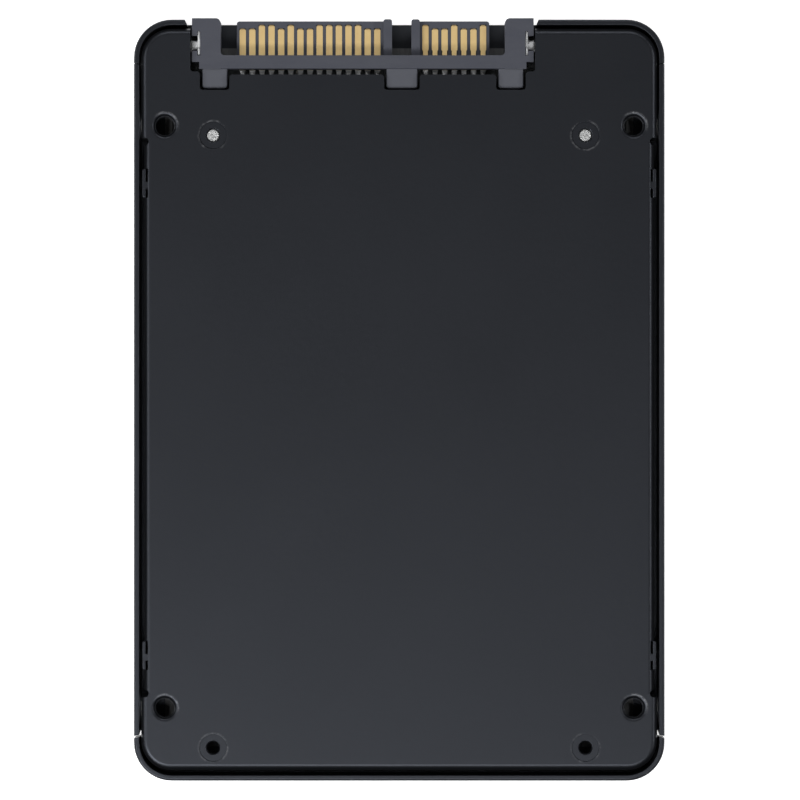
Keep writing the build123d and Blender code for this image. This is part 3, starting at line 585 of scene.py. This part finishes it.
def bead(x, rear, shoulder, front):
    """Solder on one tail: it climbs both sides, crowns over it and fans out at the shoulder."""
    rings = []
    for step in range(BEAD_STEPS + 1):
        t = step / BEAD_STEPS
        y = rear + (front - rear) * t
        fan = max(0.0, min(1.0, (y - shoulder) / (front - shoulder)))
        end = math.sqrt(max(0.0, 1.0 - (2 * t - 1) ** 8))
        half = TAIL_HALF + BEAD_FAN * fan
        height = (TAIL_RISE + BEAD_SKIN + SHOULDER_RISE * fan) * (0.35 + 0.65 * end)
        foot = BOARD_TOP + height * fan * 0.7
        rise = BOARD_TOP + height - foot
        ripple = BEAD_RIPPLE * math.sin(5 * t + 3 * x)
        wide = (half + BEAD_FOOT * (1.0 - fan) + ripple) * (0.7 + 0.3 * end)
        flank = [(wide, foot)] + [(half * out, foot + rise * up) for out, up in BEAD_FLANK]
        left = [(x - dx, y, z) for dx, z in flank]
        right = [(x + dx, y, z) for dx, z in reversed(flank)]
        rings.append(left + right)
    return loft(rings)


MOUND_SIDES = 24
MOUND_LEVELS = 7
MOUND_SIZE = (1.1, 1.5)
MOUND_HEIGHT = 0.42
MOUND_INWARD = 0.3
MOUND_FORWARD = 0.2


def mound(centre_x, centre_y):
    """A domed solder fillet on the board, with a flared, slightly uneven foot."""
    rings = []
    for level in range(MOUND_LEVELS):
        t = level / (MOUND_LEVELS - 1)
        spread = 0.72 * math.sqrt(max(0.0, 1.0 - t * t)) + 0.28 * (1.0 - t) ** 2 + 0.02
        ring = []
        for n in range(MOUND_SIDES):
            angle = 2 * math.pi * n / MOUND_SIDES
            reach = spread * (1.0 + 0.04 * math.sin(3 * angle + centre_x))
            ring.append((centre_x + MOUND_SIZE[0] / 2 * reach * math.cos(angle),
                         centre_y + MOUND_SIZE[1] / 2 * reach * math.sin(angle),
                         BOARD_TOP + MOUND_HEIGHT * t))
        rings.append(ring)
    return loft(rings)


BEAD_PAST_TAIL = 0.15
SHOULDER_LENGTH = 0.5
BAR_CLEARANCE = 0.02


def solder_joints():
    """A bead on each contact's tail and a fillet at each board lock."""
    parts = []
    rear = box_mm("signal_contacts_long")[0].y - BEAD_PAST_TAIL
    for x in contact_places():
        parts.append(bead(x, rear, BAR_REAR - SHOULDER_LENGTH, BAR_REAR - BAR_CLEARANCE))
    for side, outward in SIDES:
        low, high = box_mm(f"board_lock_{side}")
        outer = low.x if outward < 0 else high.x
        parts.append(mound(outer - outward * MOUND_INWARD, (low.y + high.y) / 2 + MOUND_FORWARD))
    return parts


# The lock's sheet thickness. Then its ear: how far out of the blade it reaches, where it starts and ends
# ahead of the lock's rear, how far its top is below the blade's, its bevel, and its gap to the blade.
LOCK_SKIN = 0.35
EAR_OUT = 0.78
EAR_Y = (0.71, 1.98)
EAR_DROP = 0.6
EAR_BEVEL = 0.14
EAR_BEVEL_HEIGHT = 0.2
EAR_PLAY = 0.01


def lock_ears():
    """The folded ear of each board lock: it stands on the lock's foot, against the blade."""
    parts = []
    for side, outward in SIDES:
        low, high = box_mm(f"board_lock_{side}")
        blade = (high.x - LOCK_SKIN) if outward < 0 else (low.x + LOCK_SKIN)
        rear, front = low.y + EAR_Y[0], low.y + EAR_Y[1]
        top = high.z - EAR_DROP
        rings = []
        for z, shrink in ((low.z + LOCK_SKIN, 0.0), (top - EAR_BEVEL_HEIGHT, 0.0), (top, EAR_BEVEL)):
            inner = blade + outward * EAR_PLAY
            outer = blade + outward * (EAR_OUT - shrink)
            ring = [(inner, rear + shrink, z), (outer, rear + shrink, z - shrink),
                    (outer, front - shrink, z - shrink), (inner, front - shrink, z)]
            rings.append(ring if outward < 0 else ring[::-1])
        parts.append(loft(rings))
    return parts


add_piece("screw_threads", *joined(tapped_holes()), "case_paint")
add_piece("lock_ears", *joined(lock_ears()), "tinned_brass", smooth=False)
add_piece("solder_joints", *joined(solder_joints()), "tinned_brass")


# ---------------------------------------------------------------- stage
FLOOR_GLOW = 0.72


def pale_floor():
    """Pale paper that glows a little, so that no shadow shows beside the drive."""
    g = Graph("pale_floor", Emission_Color=(1.0, 1.0, 1.0, 1.0), Emission_Strength=FLOOR_GLOW)
    g.colour(g.blend(g.noise(0.01, 2.0), (0.90, 0.90, 0.90), (0.92, 0.92, 0.92)))
    g.roughness(g.span(g.noise(0.02, 2.0), 0.3, 0.7, 0.85, 0.95))
    return g.material


FLOOR_HALF = 2.0
FLOOR_GAP = 0.05 * MM


def add_floor():
    """A square floor, a hair below the drive, in metres."""
    mesh = bpy.data.meshes.new("floor")
    corners = [(-FLOOR_HALF, -FLOOR_HALF), (FLOOR_HALF, -FLOOR_HALF),
               (FLOOR_HALF, FLOOR_HALF), (-FLOOR_HALF, FLOOR_HALF)]
    mesh.from_pydata([(x, y, cad_box[0][2] - FLOOR_GAP) for x, y in corners], [], [(0, 1, 2, 3)])
    mesh.materials.append(pale_floor())
    floor = bpy.data.objects.new("floor", mesh)
    bpy.context.scene.collection.objects.link(floor)


# Softboxes that all face the drive: name, place and size in metres, power in watts. The side fills stand
# level with the plug's solder tails, so that light reaches down into the slot between plug and plate.
SOFTBOXES = (
    ("key", (-0.26, -0.25, 0.50), (0.13, 0.11), 1.3),
    ("rear_softbox", (-0.04, -0.28, 0.64), (0.42, 0.20), 1.8),
    ("front_fill", (0.0, 0.62, 0.55), (0.7, 0.25), 1.95),
    ("left_fill", (-0.55, 0.043, 0.50), (0.36, 0.08), 1.1),
    ("right_fill", (0.55, 0.043, 0.50), (0.36, 0.08), 1.1),
)
WORLD_STRENGTH = 0.05


def softbox(name, place, size, power):
    light = bpy.data.lights.new(name, "AREA")
    light.shape = "RECTANGLE"
    light.size, light.size_y = size
    light.energy = power
    lamp = bpy.data.objects.new(name, light)
    lamp.location = place
    lamp.rotation_euler = (-Vector(place)).to_track_quat("-Z", "Y").to_euler()
    bpy.context.scene.collection.objects.link(lamp)


add_floor()
for lamp in SOFTBOXES:
    softbox(*lamp)

world = bpy.data.worlds.new("studio")
world.use_nodes = True
backdrop = world.node_tree.nodes["Background"]
backdrop.inputs["Color"].default_value = (1.0, 1.0, 1.0, 1.0)
backdrop.inputs["Strength"].default_value = WORLD_STRENGTH
bpy.context.scene.world = world
bpy.context.scene.view_settings.view_transform = "Standard"

# ---------------------------------------------------------------- camera
# It looks straight down on the mounting face. VIEW_WIDTH is what it takes in at that face.
CAMERA_HEIGHT = 0.9
VIEW_WIDTH = 105.26316 * MM
SENSOR_WIDTH = 36.0
AIM = (0.1 * MM, -0.08 * MM)
camera_data = bpy.data.cameras.new("camera")
camera_data.sensor_width = SENSOR_WIDTH
camera_data.lens = SENSOR_WIDTH * CAMERA_HEIGHT / VIEW_WIDTH
camera = bpy.data.objects.new("camera", camera_data)
camera.location = (*AIM, cad_box[1][2] + CAMERA_HEIGHT)
bpy.context.scene.collection.objects.link(camera)
bpy.context.scene.camera = camera
